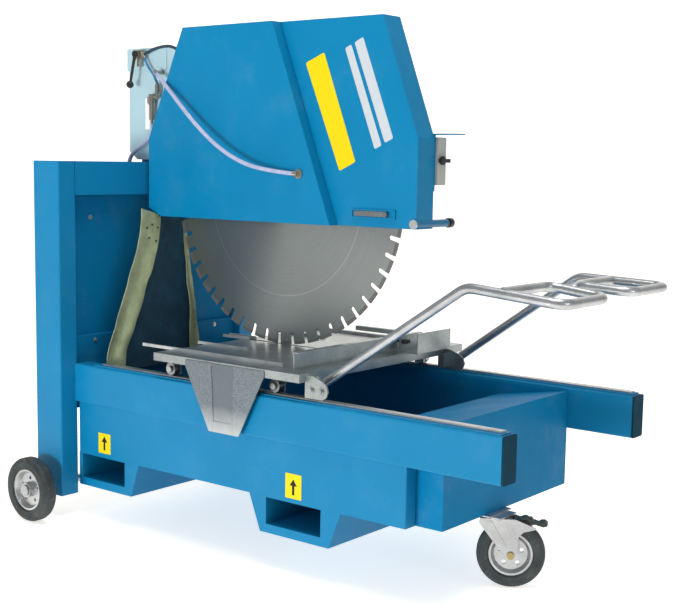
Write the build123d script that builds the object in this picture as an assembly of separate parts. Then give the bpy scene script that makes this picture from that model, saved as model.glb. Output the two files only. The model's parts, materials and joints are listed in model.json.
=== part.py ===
from build123d import *
import math
import os

# Wet block saw: a tank frame on two fixed wheels and one swivel caster, a roller table on two rails,
# and a tilting saw head over it.  Millimetres, +X towards the operator, +Z up, origin on the floor
# under the middle of the machine.

# ---------------------------------------------------------------- driving dimensions
RAIL_BACK_X = -760
RAIL_FRONT_X = 796
RAIL_OUT_Y = 380
RAIL_WIDTH = 60
RAIL_TOP_Z = 488
RAIL_HEIGHT = 120
RAIL_WALL = 4
CAP_THICK = 6
STRIP_TOP_Z = 492
GUIDE_TOP_Z = 497
GUIDE_MID_Y = 350

SKIRT_OUT_Y = 365
SKIRT_FRONT_X = 506
SKIRT_BOTTOM_Z = 203
FOOT_BOTTOM_Z = 100
POCKET_BOTTOM_Z = 125
POCKET_TOP_Z = 201
POCKET_WIDTH = 196
REAR_FOOT = (-760, -521, -486, -760)
FRONT_FOOT = (10, 256, 296, -31)
REAR_POCKET_X = -745
FRONT_POCKET_X = 32

TANK_BACK_X = -788
TANK_FRONT_X = 589
TANK_HALF_Y = 320
TANK_TOP_Z = 478
TANK_WALL = 4

PORTAL_BACK_X = -880
PORTAL_FRONT_X = -760
POST_OUT_Y = 437
POST_IN_Y = 370
POST_BOTTOM_Z = 72
BEAM_BOTTOM_Z = 1012
PORTAL_TOP_Z = 1116
PORTAL_WALL = 5
CROSS_TOP_Z = 566
PANEL_X = -810
CROSS_FRONT_X = -790

WHEEL_X = -820
WHEEL_MID_Y = 507
WHEEL_RADIUS = 100
WHEEL_WIDTH = 46
RIM_RADIUS = 64
AXLE_RADIUS = 12.5
BEARING_GAP = 0.05

SWIVEL_X = 595
SWIVEL_Y = -67
SWIVEL_ANGLE = 30
CASTER_TRAIL = 40
CASTER_RADIUS = 92
CASTER_WIDTH = 40
FORK_HALF = 23
CROWN_TOP_Z = 190.5

TABLE_BACK_X = -386
TABLE_FRONT_X = 173
TABLE_HALF_Y = 395
TABLE_TOP_Z = 565
TABLE_FLANGE_Z = 542
SHEET = 3
BLADE_SLOT = 14
ROLLER_RADIUS = 18.9
ROLLER_Z = 516
ROLLER_WIDTH = 22
ROLLER_PIN = 6
REAR_ROLLER_X = -351
FRONT_ROLLER_X = 55

HANDLE_TUBE = 13
HANDLE_Y = 320
GRIP_IN_Y = 100
NEAR_HANDLE = ((166, 514), (640, 828), (907, 806), (745, 824))
FAR_HANDLE = ((158, 498), (608, 812), (875, 803), (713, 810))
BRACKET_Y = 366
FAR_BRACKET_Y = 287

BLADE_X = -230
BLADE_Z = 1016
BLADE_RADIUS = 450
SEGMENT_HEIGHT = 10
SEGMENT_COUNT = 51
SEGMENT_LENGTH = 40
GULLET_WIDTH = 13
GULLET_DEPTH = 20
CORE_HALF = 2.2
SEGMENT_HALF = 2.6

HOOD_TOP_Z = 1536
HOOD_BOTTOM_Z = 943
HOOD_FRONT_X = 291
FRONT_HALF = 40
REAR_HALF = 75
STEP_TOP_X = -219
STEP_BOTTOM_X = 10

PIVOT_X = -820
PIVOT_Z = 1164
PIVOT_RADIUS = 15
ARM_Y = 75
ARM_THICK = 30
MOUNT_Y = 174
BELT_Y = 150
MOTOR_X = -634
MOTOR_Z = 1298
MOTOR_RADIUS = 112

PANEL_Y = -40
HOSE_Y = -58
HOSE_RADIUS = 6.5
CURTAIN_TOP_X = -724
CURTAIN_TOP_Z = 948
CURTAIN_LOW_Z = 440
CURTAIN_LEAN = 0.03
CURTAIN_THICK = 6
CURTAIN_PANELS = ((-56, 60, -214, 98), (-137, -56.5, -286, -214.5), (60.5, 66, 98.5, 132))

BLADE_AXIS = Vector(BLADE_X, 0, BLADE_Z)

REAR_OUTLINE = [(STEP_TOP_X, HOOD_TOP_Z), (-594, HOOD_TOP_Z), (-749, 1191), (-749, 970),
                (-694, HOOD_BOTTOM_Z), (STEP_BOTTOM_X, HOOD_BOTTOM_Z)]
FRONT_OUTLINE = [(STEP_TOP_X, HOOD_TOP_Z), (STEP_BOTTOM_X, HOOD_BOTTOM_Z),
                 (HOOD_FRONT_X, HOOD_BOTTOM_Z), (HOOD_FRONT_X, 1194), (163, HOOD_TOP_Z)]
WHOLE_OUTLINE = [(-594, HOOD_TOP_Z), (-749, 1191), (-749, 970), (-694, HOOD_BOTTOM_Z),
                 (HOOD_FRONT_X, HOOD_BOTTOM_Z), (HOOD_FRONT_X, 1194), (163, HOOD_TOP_Z)]
MOUTH_BACK_X = -690
BAR_X = 285
BAR_Z = 957
BAR_RADIUS = 11
FEED_ROUTE = [(-710, -74, 1396), (-602, -106, 1324), (-495, -118, 1235), (-383, -125, 1159),
              (-282, -122, 1115), (-197, -108, 1097), (-121, -89, 1090)]
SUPPLY_ROUTE = [(-753, HOSE_Y, 1238), (-753, HOSE_Y, 1208), (-778, HOSE_Y, 1183), (-812, HOSE_Y, 1165),
                (-846, HOSE_Y, 1144), (-864, HOSE_Y, 1118), (-866, HOSE_Y, 1090)]
CONTROL_ROUTE = [(-784, HOSE_Y, 1464), (-748, HOSE_Y, 1477), (-704, HOSE_Y, 1484),
                 (-661.1, HOSE_Y, 1484.4), (-630.1, HOSE_Y, 1470.5)]
PILOT_ROUTE = [(-786, HOSE_Y, 1450), (-770, HOSE_Y, 1422), (-742, HOSE_Y, 1396), (-726, HOSE_Y, 1366)]


# ---------------------------------------------------------------- helpers
def block(x0, x1, y0, y1, z0, z1):
    """A box between two corners."""
    size = Box(x1 - x0, y1 - y0, z1 - z0)
    return Pos((x0 + x1) / 2, (y0 + y1) / 2, (z0 + z1) / 2) * size


def rod_y(x, z, radius, y0, y1):
    """A cylinder along Y."""
    return Pos(x, (y0 + y1) / 2, z) * Rot(90, 0, 0) * Cylinder(radius, abs(y1 - y0))


def rod_x(y, z, radius, x0, x1):
    """A cylinder along X."""
    return Pos((x0 + x1) / 2, y, z) * Rot(0, 90, 0) * Cylinder(radius, abs(x1 - x0))


def rod_z(x, y, radius, z0, z1):
    """A cylinder along Z."""
    return Pos(x, y, (z0 + z1) / 2) * Cylinder(radius, abs(z1 - z0))


def prism_y(outline, y0, y1):
    """An outline of (x, z) points, thickened along Y."""
    edge = Polyline(*[(x, y0, z) for x, z in outline], close=True)
    return extrude(make_face(edge), amount=y1 - y0, dir=(0, 1, 0))


def turned_y(profile, x, z):
    """A ring or wheel: an outline of (radius, y) points turned about a line along Y."""
    edge = Polyline(*[(x + radius, y, z) for radius, y in profile], close=True)
    return revolve(make_face(edge), Axis((x, 0, z), (0, 1, 0)), 360)


def tube_path(points):
    """Straight runs joined by tangent arcs, each as large as its two runs allow."""
    places = [Vector(*point) for point in points]
    radii = []
    for before, here, after in zip(places, places[1:], places[2:]):
        turn = math.radians((here - before).get_angle(after - here))
        shorter = min((here - before).length, (after - here).length)
        radii.append(0.45 * shorter / math.tan(turn / 2))
    return FilletPolyline(*places, radius=radii), radii


def hose(name, points, radius):
    """A round hose along the route; prints its bend radii, length and volume."""
    path, radii = tube_path(points)
    start = Plane(origin=path @ 0, z_dir=path % 0)
    solid = sweep(start * Circle(radius), path=path)
    expected = math.pi * radius ** 2 * path.length
    print(name, "length", round(path.length), "radii", [round(r) for r in radii],
          "volume ratio", round(solid.volume / expected, 4))
    return solid


def bent_tube(points, bends, radius):
    """A stiff tube with given bend radii."""
    path = FilletPolyline(*[Vector(*point) for point in points], radius=bends)
    start = Plane(origin=path @ 0, z_dir=path % 0)
    return sweep(start * Circle(radius), path=path)


def both_sides(shape):
    """The shape and its mirror image across the blade's plane."""
    return [shape, mirror(shape, about=Plane.XZ)]


def save(name, *solids):
    """Write one node's solids to its file."""
    pieces = []
    for item in solids:
        pieces.extend(item.solids())
    export_step(Compound(children=pieces), "parts/" + name + ".step")


# ---------------------------------------------------------------- fixed frame
def build_rails():
    beams = []
    caps = []
    guides = []
    tube = block(RAIL_BACK_X, RAIL_FRONT_X - CAP_THICK, -RAIL_OUT_Y, -RAIL_OUT_Y + RAIL_WIDTH,
                 RAIL_TOP_Z - RAIL_HEIGHT, RAIL_TOP_Z)
    tube = fillet(tube.edges().filter_by(Axis.X), 6)
    hollow = block(RAIL_BACK_X, RAIL_FRONT_X, -RAIL_OUT_Y + RAIL_WALL,
                   -RAIL_OUT_Y + RAIL_WIDTH - RAIL_WALL,
                   RAIL_TOP_Z - RAIL_HEIGHT + RAIL_WALL, RAIL_TOP_Z - RAIL_WALL)
    strip = block(-679, RAIL_FRONT_X - 12, -GUIDE_MID_Y - 22, -GUIDE_MID_Y + 22,
                  RAIL_TOP_Z - 1, STRIP_TOP_Z)
    beam = tube - hollow + strip
    cap = block(RAIL_FRONT_X - CAP_THICK, RAIL_FRONT_X, -RAIL_OUT_Y, -RAIL_OUT_Y + RAIL_WIDTH,
                RAIL_TOP_Z - RAIL_HEIGHT, RAIL_TOP_Z)
    cap = fillet(cap.edges().filter_by(Axis.X), 6)
    plug = block(RAIL_FRONT_X - 26, RAIL_FRONT_X - CAP_THICK, -RAIL_OUT_Y + RAIL_WALL + 0.2,
                 -RAIL_OUT_Y + RAIL_WIDTH - RAIL_WALL - 0.2,
                 RAIL_TOP_Z - RAIL_HEIGHT + RAIL_WALL + 0.2, RAIL_TOP_Z - RAIL_WALL - 0.2)
    guide = block(-650, RAIL_FRONT_X - 20, -GUIDE_MID_Y - 12, -GUIDE_MID_Y + 12,
                  STRIP_TOP_Z, GUIDE_TOP_Z)
    guide = chamfer(guide.edges().filter_by(Axis.X).group_by(Axis.Z)[-1], 1.5)
    beams.extend(both_sides(beam))
    caps.extend(both_sides(cap + plug))
    guides.extend(both_sides(guide))
    save("rail_beams", *beams)
    save("rail_end_caps", *caps)
    save("guide_rails", *guides)


def fork_foot(corners, pocket_x):
    """A cross foot with a pocket for a lifting fork, from one side of the frame to the other."""
    back_low, front_low, front_high, back_high = corners
    outline = [(back_low, FOOT_BOTTOM_Z), (front_low, FOOT_BOTTOM_Z),
               (front_high, SKIRT_BOTTOM_Z), (back_high, SKIRT_BOTTOM_Z)]
    foot = prism_y(outline, -SKIRT_OUT_Y, SKIRT_OUT_Y)
    pocket = block(pocket_x, pocket_x + POCKET_WIDTH, -SKIRT_OUT_Y, SKIRT_OUT_Y,
                   POCKET_BOTTOM_Z, POCKET_TOP_Z)
    return foot - pocket


def build_base_frame():
    side = block(RAIL_BACK_X, SKIRT_FRONT_X, -SKIRT_OUT_Y, -TANK_HALF_Y,
                 SKIRT_BOTTOM_Z, RAIL_TOP_Z - RAIL_HEIGHT)
    hollow = block(RAIL_BACK_X + 4, SKIRT_FRONT_X - 4, -SKIRT_OUT_Y + 4, -TANK_HALF_Y - 4,
                   SKIRT_BOTTOM_Z + 4, RAIL_TOP_Z - RAIL_HEIGHT - 4)
    side = fillet(side.edges().filter_by(Axis.Z), 3) - hollow
    save("side_boxes", *both_sides(side))
    save("fork_pockets", fork_foot(REAR_FOOT, REAR_POCKET_X), fork_foot(FRONT_FOOT, FRONT_POCKET_X))


def build_tank():
    outer = block(TANK_BACK_X, TANK_FRONT_X, -TANK_HALF_Y, TANK_HALF_Y, SKIRT_BOTTOM_Z, TANK_TOP_Z)
    inner = block(TANK_BACK_X + TANK_WALL, TANK_FRONT_X - TANK_WALL, -TANK_HALF_Y + TANK_WALL,
                  TANK_HALF_Y - TANK_WALL, SKIRT_BOTTOM_Z + TANK_WALL, TANK_TOP_Z)
    slope = prism_y([(TANK_FRONT_X - TANK_WALL, TANK_TOP_Z - 4), (TANK_FRONT_X - TANK_WALL, TANK_TOP_Z),
                     (360, 441), (360, 437)], -TANK_HALF_Y + TANK_WALL, TANK_HALF_Y - TANK_WALL)
    hole = rod_x(HOSE_Y, 400, HOSE_RADIUS + 0.5, TANK_BACK_X - 1, TANK_BACK_X + TANK_WALL + 1)
    save("water_tank", outer - inner + slope - hole)


def build_portal():
    post = block(PORTAL_BACK_X, PORTAL_FRONT_X, -POST_OUT_Y, -POST_IN_Y, POST_BOTTOM_Z, PORTAL_TOP_Z)
    post = fillet(post.edges().filter_by(Axis.Z), 5)
    post_hollow = block(PORTAL_BACK_X + PORTAL_WALL, PORTAL_FRONT_X - PORTAL_WALL,
                        -POST_OUT_Y + PORTAL_WALL, -POST_IN_Y - PORTAL_WALL,
                        POST_BOTTOM_Z, PORTAL_TOP_Z - PORTAL_WALL)
    axle_hole = rod_y(WHEEL_X, WHEEL_RADIUS, AXLE_RADIUS, -POST_OUT_Y - 1, -POST_IN_Y + 1)
    posts = both_sides(post - post_hollow - axle_hole)
    beam = block(PORTAL_BACK_X, PORTAL_FRONT_X, -POST_IN_Y, POST_IN_Y, BEAM_BOTTOM_Z, PORTAL_TOP_Z)
    beam_hollow = block(PORTAL_BACK_X + PORTAL_WALL, PORTAL_FRONT_X - PORTAL_WALL,
                        -POST_IN_Y, POST_IN_Y, BEAM_BOTTOM_Z + PORTAL_WALL, PORTAL_TOP_Z - PORTAL_WALL)
    hose_slot = block(-874, -826, HOSE_Y - 9, HOSE_Y + 9, PORTAL_TOP_Z - 10, PORTAL_TOP_Z + 1)
    pipe_hole = rod_z(-835, HOSE_Y, HOSE_RADIUS + 0.5, BEAM_BOTTOM_Z - 1, BEAM_BOTTOM_Z + 10)
    beam = beam - beam_hollow - hose_slot - pipe_hole
    save("portal_posts", *posts)
    save("portal_beam", beam)
    panel = block(PANEL_X - 6, PANEL_X, -POST_IN_Y, POST_IN_Y, CROSS_TOP_Z, BEAM_BOTTOM_Z)
    cross = block(PANEL_X - 6, CROSS_FRONT_X, -POST_IN_Y, POST_IN_Y, 338, CROSS_TOP_Z)
    cross = cross - block(PANEL_X, CROSS_FRONT_X - 5, -POST_IN_Y + 5, POST_IN_Y - 5, 343, CROSS_TOP_Z - 5)
    wall_hole = block(PANEL_X - 10, CROSS_FRONT_X + 5, HOSE_Y - 7, HOSE_Y + 7, 393, 460)
    save("portal_back_panel", panel + cross - wall_hole)
    bolts = []
    for y in (-271, 271):
        for z, face in ((940, PANEL_X), (548, CROSS_FRONT_X)):
            head = rod_x(y, z, 5, face, face + 5)
            bolts.append(head + rod_x(y, z, 8, face, face + 1.5))
    save("portal_bolts", *bolts)


def build_wheels():
    axle = rod_y(WHEEL_X, WHEEL_RADIUS, AXLE_RADIUS, -WHEEL_MID_Y - 24, WHEEL_MID_Y + 24)
    collars = []
    for side in (-1, 1):
        inside = side * (WHEEL_MID_Y - 24)
        collar = rod_y(WHEEL_X, WHEEL_RADIUS, 20, inside, side * (WHEEL_MID_Y - 34))
        collars.append(collar - rod_y(WHEEL_X, WHEEL_RADIUS, AXLE_RADIUS, -600, 600))
        outside = side * (WHEEL_MID_Y + 24)
        collars.append(rod_y(WHEEL_X, WHEEL_RADIUS, 17, outside, side * (WHEEL_MID_Y + 29)))
    save("rear_axle", axle, *collars)
    for side, word in ((-1, "left"), (1, "right")):
        tyre, rim = wheel_pair(WHEEL_RADIUS, WHEEL_WIDTH, AXLE_RADIUS + BEARING_GAP)
        place = Pos(WHEEL_X, side * WHEEL_MID_Y, WHEEL_RADIUS)
        save("rear_tyre_" + word, place * tyre)
        save("rear_rim_" + word, place * rim)


def wheel_pair(radius, width, bore):
    """A solid rubber tyre and its pressed steel rim, about Y, centred on the origin."""
    half = width / 2
    seat = radius * RIM_RADIUS / WHEEL_RADIUS
    tyre = turned_y([(seat, -half + 5), (seat, half - 5), (seat + 4, half), (radius - 12, half),
                     (radius - 3, half - 5), (radius, half - 12), (radius, -half + 12),
                     (radius - 3, -half + 5), (radius - 12, -half), (seat + 4, -half)], 0, 0)
    lip = half - 5
    rim = turned_y([(bore, -half), (bore, half), (bore + 10, half), (bore + 11, 4), (seat - 14, 4),
                    (seat - 6, lip), (seat, lip), (seat, -lip), (seat - 6, -lip), (seat - 14, -4),
                    (bore + 11, -4), (bore + 10, -half)], 0, 0)
    middle = (bore + 11 + seat - 14) / 2
    for turn in range(5):
        angle = math.radians(72 * turn + 18)
        rim = rim - rod_y(middle * math.cos(angle), middle * math.sin(angle), 6, -half, half)
    return tyre, rim


def build_caster():
    place = Pos(SWIVEL_X, SWIVEL_Y, 0) * Rot(0, 0, SWIVEL_ANGLE)
    plate = block(SWIVEL_X - 48, SWIVEL_X + 36, SWIVEL_Y - 42, SWIVEL_Y + 42, 194.5, 199)
    tab = block(SWIVEL_X - 70, SWIVEL_X + 12, SWIVEL_Y - 56, SWIVEL_Y + 56, 199, SKIRT_BOTTOM_Z)
    ring = rod_z(SWIVEL_X, SWIVEL_Y, 30, 191, 194.5)
    bolts = []
    for dx in (-39, 27):
        for dy in (-33, 33):
            bolts.append(rod_z(SWIVEL_X + dx, SWIVEL_Y + dy, 6, 191.2, 194.5))
    save("caster_plate", plate + ring, tab, *bolts)
    crown = block(-44, 42, -FORK_HALF - 4, FORK_HALF + 4, CROWN_TOP_Z - 4, CROWN_TOP_Z)
    race = rod_z(0, 0, 26, CROWN_TOP_Z, CROWN_TOP_Z + 0.3)
    leg_outline = [(-44, CROWN_TOP_Z), (52, CROWN_TOP_Z), (104, 170), (104, 166), (72, 157), (60, 144),
                   (59, CASTER_RADIUS), (21, CASTER_RADIUS), (-34, 162), (-46, 178)]
    leg = prism_y(leg_outline, -FORK_HALF - 4, -FORK_HALF)
    leg = leg + rod_y(CASTER_TRAIL, CASTER_RADIUS, 19, -FORK_HALF - 4, -FORK_HALF)
    fold = prism_y([(-20, 184), (-12, 184), (30, 112), (24, 112)], -FORK_HALF - 6, -FORK_HALF - 4)
    leg = leg + fold
    bolt_hole = rod_y(CASTER_TRAIL, CASTER_RADIUS, 6, -60, 60)
    fork = crown + race + leg + mirror(leg, about=Plane.XZ) - bolt_hole
    save("caster_fork", place * fork)
    bolt = rod_y(CASTER_TRAIL, CASTER_RADIUS, 6, -FORK_HALF - 6, FORK_HALF + 6)
    head = rod_y(CASTER_TRAIL, CASTER_RADIUS, 10, -FORK_HALF - 10, -FORK_HALF - 4)
    nut = rod_y(CASTER_TRAIL, CASTER_RADIUS, 10, FORK_HALF + 4, FORK_HALF + 10)
    save("caster_axle", place * (bolt + head + nut))
    tyre, rim = wheel_pair(CASTER_RADIUS, CASTER_WIDTH, 6 + BEARING_GAP)
    wheel_place = place * Pos(CASTER_TRAIL, 0, CASTER_RADIUS)
    save("caster_tyre", wheel_place * tyre)
    save("caster_rim", wheel_place * rim)
    outline = [(46, 187), (50, 190.3), (66, 190.5), (72, 194), (78, 195), (84, 192.5), (88, 190), (91, 191.5),
               (95, 190), (97, 185), (112, 180), (119, 184.5), (129, 185), (136, 180), (134, 174),
               (124, 171), (108, 175), (92, 182), (80, 188), (68, 187.2), (54, 186.6)]
    pedal = prism_y(outline, -16, 16)
    barrel = rod_y(48, 188.6, 1.8, -FORK_HALF + 0.2, FORK_HALF - 0.2)
    save("caster_pedal", place * (pedal + barrel))


def build_pump():
    body = rod_z(-650, HOSE_Y, 62, 219, 318)
    body = fillet(body.edges().filter_by(GeomType.CIRCLE), 8)
    foot = rod_z(-650, HOSE_Y, 70, SKIRT_BOTTOM_Z + TANK_WALL, 219)
    outlet = rod_z(-650, HOSE_Y, 12, 318, 336)
    save("water_pump", body + foot + outlet)
    route = [(-835, HOSE_Y, 1060), (-835, HOSE_Y, 400), (-650, HOSE_Y, 400), (-650, HOSE_Y, 336)]
    save("riser_pipe", bent_tube(route, 50, HOSE_RADIUS))


# ---------------------------------------------------------------- roller table
def build_table():
    outer = block(TABLE_BACK_X, TABLE_FRONT_X, -TABLE_HALF_Y, TABLE_HALF_Y, TABLE_FLANGE_Z, TABLE_TOP_Z)
    inner = block(TABLE_BACK_X + SHEET, TABLE_FRONT_X - SHEET, -TABLE_HALF_Y + SHEET,
                  TABLE_HALF_Y - SHEET, TABLE_FLANGE_Z - 1, TABLE_TOP_Z - SHEET)
    slot = block(TABLE_BACK_X - 1, -60, -BLADE_SLOT / 2, BLADE_SLOT / 2, TABLE_FLANGE_Z - 1, TABLE_TOP_Z + 1)
    save("table_frame", outer - inner - slot)
    ribs = []
    for y, back, front in ((325, -507, 54), (181, -415, -211), (15, -469, -356)):
        rib = block(back, front, -y - 3, -y + 3, TABLE_TOP_Z, TABLE_TOP_Z + 9)
        ribs.extend(both_sides(rib))
    save("table_ribs", *ribs)
    apron = prism_y([(-253, 543), (49, 543), (-44, 365), (-158, 365)], -TABLE_HALF_Y - 3, -TABLE_HALF_Y)
    rim = block(-253, 49, -TABLE_HALF_Y - 3, -TABLE_HALF_Y, 543, 560)
    channel_outline = [(-150, 552), (-62, 552), (-72, 396), (-140, 396)]
    channel = prism_y(channel_outline, -TABLE_HALF_Y - 4, -TABLE_HALF_Y - 1.4)
    save("side_apron", apron + rim - channel)
    web = block(119, 122, -357, 227, TABLE_TOP_Z, 616)
    top_flange = block(119, 137, -357, 227, 613, 616)
    low_flange = block(119, 169, -357, 227, TABLE_TOP_Z, 568)
    plate = block(193, 196, 117, 292, TABLE_TOP_Z, 626)
    foot = block(171, 193, 117, 292, TABLE_TOP_Z, 568)
    save("table_upstands", web + top_flange + low_flange, plate + foot)
    bar = block(-33, 144, 112, 128, 616.2, 630)
    tab = block(138, 144, 104, 136, 572, 616.2)
    screw_hole = rod_x(120, 598, 3.25, 130, 150)
    save("fence_bar", bar + tab - screw_hole)
    screw = rod_x(120, 598, 3.2, 122.4, 156)
    wings = block(152, 156, 104, 136, 593, 603)
    collar = rod_x(120, 598, 7, 144.2, 156)
    save("fence_screw", screw + wings + collar)


def build_rollers():
    brackets = []
    for x, word in ((FRONT_ROLLER_X, "front"), (REAR_ROLLER_X, "rear")):
        hanger = block(x - 17, x + 17, -336, -331, 499, TABLE_TOP_Z - SHEET)
        pin = rod_y(x, ROLLER_Z, ROLLER_PIN, -336, -364)
        head = rod_y(x, ROLLER_Z, 9, -364, -369)
        brackets.extend(both_sides(hanger + pin + head))
        roller = rod_y(x, ROLLER_Z, ROLLER_RADIUS, -GUIDE_MID_Y - ROLLER_WIDTH / 2,
                       -GUIDE_MID_Y + ROLLER_WIDTH / 2)
        bore = rod_y(x, ROLLER_Z, ROLLER_PIN + BEARING_GAP, -380, -320)
        save("rollers_" + word, *both_sides(roller - bore))
    save("roller_brackets", *brackets)


def end_bracket(y):
    """A rounded side plate with two bolts; the bolts' heads are on the outer side."""
    side = 1 if y > 0 else -1
    outline = [(TABLE_FRONT_X, 500), (232, 500), (246, 508), (252, 523), (246, 540), (232, 550),
               (200, 562), (TABLE_FRONT_X, 562)]
    plate = prism_y(outline, y, y + 5 * side)
    bolts = []
    for x in (194, 228):
        washer = rod_y(x, 523, 11, y + 5 * side, y + 7 * side)
        bolts.append(washer + rod_y(x, 523, 7, y + 7 * side, y + 12 * side))
    return [plate, *bolts]


def push_handle(foot, bend, grip, loop_back):
    """A tube that rises from its foot, turns level and ends in a grip loop towards the middle."""
    y = -HANDLE_Y
    route = [(foot[0], y, foot[1]), (bend[0], y, bend[1]), (grip[0], y, grip[1]),
             (grip[0], -GRIP_IN_Y, grip[1]), (loop_back[0], -GRIP_IN_Y, loop_back[1]),
             (loop_back[0], -150, loop_back[1])]
    cross_bar = rod_y(loop_back[0], loop_back[1], HANDLE_TUBE, -150, y)
    return bent_tube(route, [70, 36, 36, 36], HANDLE_TUBE) + cross_bar


def build_handles():
    filler = block(TABLE_FRONT_X, 188, -BRACKET_Y, -BRACKET_Y + 50, 512, 556)
    pad = block(TABLE_FRONT_X, 196, FAR_BRACKET_Y - 26, FAR_BRACKET_Y, 508, 552)
    save("end_brackets", *end_bracket(-BRACKET_Y), *end_bracket(FAR_BRACKET_Y), filler, pad)
    foot = rod_y(190, 530, 15, -BRACKET_Y, -HANDLE_Y)
    save("push_handle_left", push_handle(*NEAR_HANDLE) + foot - filler)
    far = mirror(push_handle(*FAR_HANDLE), about=Plane.XZ)
    far_foot = rod_y(198, 526, 15, FAR_BRACKET_Y + 12, HANDLE_Y)
    table_side = block(100, TABLE_FRONT_X + 1, HANDLE_Y - 30, HANDLE_Y + 30, 460, 570)
    save("push_handle_right", far + far_foot - table_side)


# ---------------------------------------------------------------- saw head


def core_y(outline, y0, y1):
    """The space inside a sheet band of the outline, as a solid along Y."""
    edge = make_face(Polyline(*[(x, y0, z) for x, z in outline], close=True))
    return extrude(offset(edge, -SHEET, kind=Kind.INTERSECTION), amount=y1 - y0, dir=(0, 1, 0))


def build_hood():
    spindle_hole = rod_y(BLADE_X, BLADE_Z, 58, 0, 200)
    bar_hole = rod_y(BAR_X, BAR_Z, BAR_RADIUS, -200, 200)
    outer = prism_y(WHOLE_OUTLINE, -FRONT_HALF + SHEET, FRONT_HALF)
    outer = outer + prism_y(REAR_OUTLINE, FRONT_HALF, REAR_HALF)
    inner = core_y(WHOLE_OUTLINE, -FRONT_HALF, FRONT_HALF - SHEET)
    inner = inner + core_y(REAR_OUTLINE, FRONT_HALF - SHEET - 1, REAR_HALF - SHEET)
    low = HOOD_BOTTOM_Z - 1
    high = HOOD_BOTTOM_Z + 6
    mouth = block(MOUTH_BACK_X, 287, -FRONT_HALF, FRONT_HALF - SHEET, low, high)
    mouth = mouth + block(MOUTH_BACK_X, 4, 0, REAR_HALF - SHEET, low, high)
    backing = block(238, 288, FRONT_HALF, FRONT_HALF + 10, 1048, 1207)
    visor = block(238, 356, FRONT_HALF, 97, 1206, 1209)
    shell = outer - inner - mouth - spindle_hole - bar_hole
    save("hood_shell", shell + backing + visor)
    near = prism_y(REAR_OUTLINE, -REAR_HALF, -FRONT_HALF + SHEET)
    near = near - core_y(REAR_OUTLINE, -REAR_HALF + SHEET, -FRONT_HALF + SHEET)
    near_mouth = block(MOUTH_BACK_X, 4, -REAR_HALF + SHEET, -FRONT_HALF + SHEET, low, high)
    save("hood_rear_cover", near - near_mouth)
    cover = prism_y(FRONT_OUTLINE, -FRONT_HALF, -FRONT_HALF + SHEET)
    bar = rod_y(BAR_X, BAR_Z, BAR_RADIUS, -44, 126)
    cap = rod_y(BAR_X, BAR_Z, BAR_RADIUS + 2, -44, -50)
    stop = rod_y(BAR_X, BAR_Z, BAR_RADIUS + 3, 126, 142)
    save("head_bar", bar, fillet(cap.edges().group_by(Axis.Y)[0], 2), stop)
    track = block(65, 221, -46, -FRONT_HALF, 968, 994) - block(70, 216, -47, -42, 972, 990)
    slider = block(76, 186, -45.5, -42.3, 973.5, 988.5)
    knob = rod_y(190, 981, 8, -54, -42.3)
    save("hood_front_cover", cover - bar_hole, track)
    save("latch_slider", slider + knob)


def build_head_frame():
    shaft = rod_y(PIVOT_X, PIVOT_Z, PIVOT_RADIUS, 2, 180)
    save("pivot_shaft", shaft)
    along = Vector(BLADE_X - PIVOT_X, 0, BLADE_Z - PIVOT_Z).normalized()
    across = Vector(-along.Z, 0, along.X)
    outline = []
    for point, half in ((Vector(PIVOT_X, 0, PIVOT_Z), 25), (BLADE_AXIS, 60)):
        outline.append((point, half))
    (start, start_half), (end, end_half) = outline
    corners = [start - across * start_half, end - across * end_half,
               end + across * end_half, start + across * start_half]
    beam = prism_y([(corner.X, corner.Z) for corner in corners], ARM_Y, ARM_Y + ARM_THICK)
    beam = beam + rod_y(PIVOT_X, PIVOT_Z, 44, ARM_Y - 15, ARM_Y + 45)
    beam = beam + rod_y(BLADE_X, BLADE_Z, 60, ARM_Y, ARM_Y + ARM_THICK)
    beam = beam + rod_y(BLADE_X, BLADE_Z, 52, 14, ARM_Y)
    spacer = block(-780, -652, ARM_Y + ARM_THICK, MOUNT_Y, 1132, 1182)
    arm = beam + spacer - rod_y(PIVOT_X, PIVOT_Z, PIVOT_RADIUS, 0, 200)
    arm = arm - rod_y(BLADE_X, BLADE_Z, 20 + BEARING_GAP, 0, 200)
    plate = prism_y([(-780, 1132), (-652, 1132), (-500, 1230), (-500, 1430), (-768, 1430), (-780, 1200)],
                    MOUNT_Y, MOUNT_Y + 8)
    save("saw_arm", arm + plate - rod_y(MOTOR_X, MOTOR_Z, 70, 170, 190))
    blocks = []
    for y0, y1 in ((10, 50), (132, 172)):
        base = block(PIVOT_X - 55, PIVOT_X + 55, y0, y1, PORTAL_TOP_Z, PORTAL_TOP_Z + 12)
        housing = rod_y(PIVOT_X, PIVOT_Z, 32, y0, y1)
        neck = block(PIVOT_X - 26, PIVOT_X + 26, y0, y1, PORTAL_TOP_Z + 12, PIVOT_Z)
        bore = rod_y(PIVOT_X, PIVOT_Z, PIVOT_RADIUS + BEARING_GAP, 0, 200)
        blocks.append(base + neck + housing - bore)
    save("pivot_blocks", *blocks)
    side = [(-879, 1150), (-879, 1482), (-619, 1482), (-749, 1191), (-749, 1124), (-842, 1124)]
    left = prism_y(side, PANEL_Y, PANEL_Y + SHEET)
    rear = block(-879, -876, PANEL_Y + SHEET, REAR_HALF, 1170, 1482)
    top = block(-876, -622, PANEL_Y + SHEET, REAR_HALF, 1479, 1482)
    slab = block(-886, -700, PANEL_Y - 3, PANEL_Y, 1412, 1484)
    save("rear_box", left + rear + top, slab)


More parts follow.
